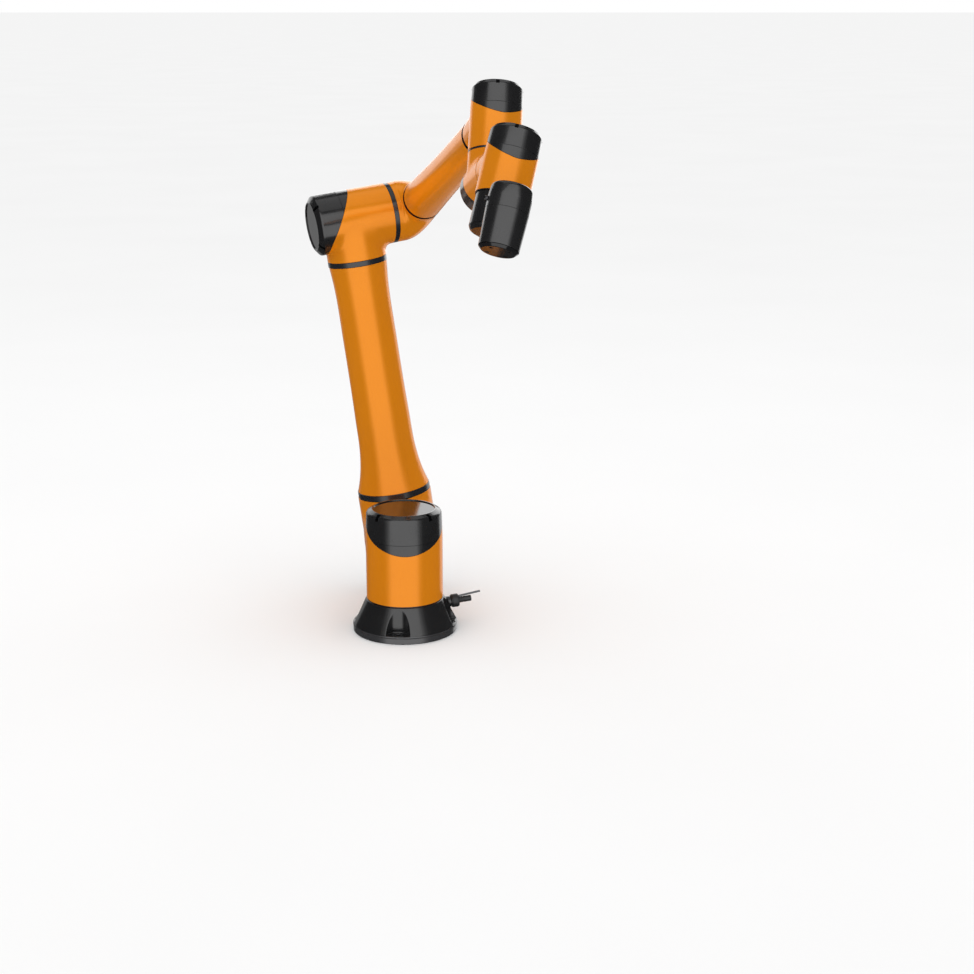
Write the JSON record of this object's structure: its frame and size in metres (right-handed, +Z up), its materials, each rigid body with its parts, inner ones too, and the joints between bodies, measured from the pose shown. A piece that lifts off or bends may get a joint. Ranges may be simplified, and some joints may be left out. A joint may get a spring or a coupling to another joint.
{
  "type": "collaborative robot arm",
  "caption": "Articulated collaborative robot arm with T-shaped joint modules, two round arm tubes, black joint covers, a conical bolt-down base and a black end head with a flat tool face.",
  "frame": {"origin": "centre of the underside of the base flange, where the arm is bolted down", "axes": "+Z up along the first joint's axis; -Y towards the side the forearm reaches to at rest; the base connector is on the +X side"},
  "size_m": [0.4485, 0.9139, 1.0723],
  "materials": {
    "orange_paint": "glossy orange paint on cast aluminium",
    "black_gloss": "smooth semi-gloss black moulding",
    "black_base": "semi-gloss black paint on a cast base",
    "dark_band": "dark blue-black ring, semi-gloss",
    "drive_metal": "machined aluminium and steel drive unit",
    "circuit_board": "green solder-resist circuit board",
    "bare_alloy": "turned aluminium",
    "black_steel": "black-oxide steel",
    "black_matte": "matte black moulded connector"
  },
  "bodies": {
    "base": {"base_casting": "black_base", "base_bolt_1": "black_steel", "base_bolt_2": "black_steel", "base_bolt_3": "black_steel", "base_bolt_4": "black_steel", "connector_body": "black_matte", "connector_lever": "black_matte", "j1_output_flange": "bare_alloy", "j1_seal_ring": "dark_band"},
    "shoulder": {"shoulder_housing": "orange_paint", "shoulder_collar": "black_gloss", "shoulder_cap": "black_gloss", "j1_drive_unit": "drive_metal", "j1_driver_board": "circuit_board", "j2_output_flange": "bare_alloy", "j2_seal_ring": "dark_band"},
    "upper_arm": {"upper_arm_lower_housing": "orange_paint", "upper_arm_lower_collar": "black_gloss", "upper_arm_lower_cap": "black_gloss", "j2_drive_unit": "drive_metal", "j2_driver_board": "circuit_board", "upper_arm_lower_ring": "dark_band", "upper_arm_tube": "orange_paint", "upper_arm_upper_ring": "dark_band", "elbow_housing": "orange_paint", "elbow_collar": "black_gloss", "elbow_cap": "black_gloss", "j3_drive_unit": "drive_metal", "j3_driver_board": "circuit_board", "j3_seal_ring": "dark_band"},
    "forearm": {"forearm_elbow_casting": "orange_paint", "j3_output_flange": "bare_alloy", "forearm_tube": "orange_paint", "wrist_1_housing": "orange_paint", "wrist_1_collar": "black_gloss", "wrist_1_cap": "black_gloss", "j4_drive_unit": "drive_metal", "j4_driver_board": "circuit_board", "j4_seal_ring": "dark_band"},
    "wrist_1": {"wrist_2_housing": "orange_paint", "wrist_2_collar": "black_gloss", "wrist_2_cap": "black_gloss", "j5_drive_unit": "drive_metal", "j5_driver_board": "circuit_board", "j4_output_flange": "bare_alloy", "j5_seal_ring": "dark_band"},
    "wrist_2": {"wrist_3_housing": "orange_paint", "wrist_3_collar": "black_gloss", "wrist_3_cap": "black_gloss", "j6_drive_unit": "drive_metal", "j6_driver_board": "circuit_board", "j5_output_flange": "bare_alloy", "j6_seal_ring": "dark_band"},
    "end_head": {"j6_output_flange": "bare_alloy", "head_bracket": "black_gloss", "head_bracket_cover": "black_gloss", "head_upper_shell": "black_gloss", "head_lower_shell": "black_gloss", "head_tool_plate": "black_gloss", "tool_io_socket": "bare_alloy"}
  },
  "joints": [
    {"name": "shoulder_pan", "type": "hinge", "parent": "base", "child": "shoulder", "pos_m": [0, 0, 0.148], "axis": [0, 0, 1], "range_deg": [-175, 175]},
    {"name": "shoulder_lift", "type": "hinge", "parent": "shoulder", "child": "upper_arm", "pos_m": [-0.01781, 0.20021, 0.148], "axis": [-0.0886, 0.9961, 0], "range_deg": [-80, 65]},
    {"name": "elbow_bend", "type": "hinge", "parent": "upper_arm", "child": "forearm", "pos_m": [-0.10632, 0.19234, 0.78029], "axis": [0.9353, 0.3269, 0.135], "range_deg": [-175, 60]},
    {"name": "wrist_1_turn", "type": "hinge", "parent": "forearm", "child": "wrist_1", "pos_m": [0.17647, -0.30375, 1.00459], "axis": [0.0541, 0.3707, 0.9272], "range_deg": [-175, 175]},
    {"name": "wrist_2_turn", "type": "hinge", "parent": "wrist_1", "child": "wrist_2", "pos_m": [0.17065, -0.34367, 0.90473], "axis": [0.2571, -0.9024, 0.3458], "range_deg": [-95, 115]},
    {"name": "wrist_3_turn", "type": "hinge", "parent": "wrist_2", "child": "end_head", "pos_m": [0.19743, -0.4377, 0.94076], "axis": [0.221, 0.4032, 0.888], "range_deg": [-175, 175]}
  ]
}
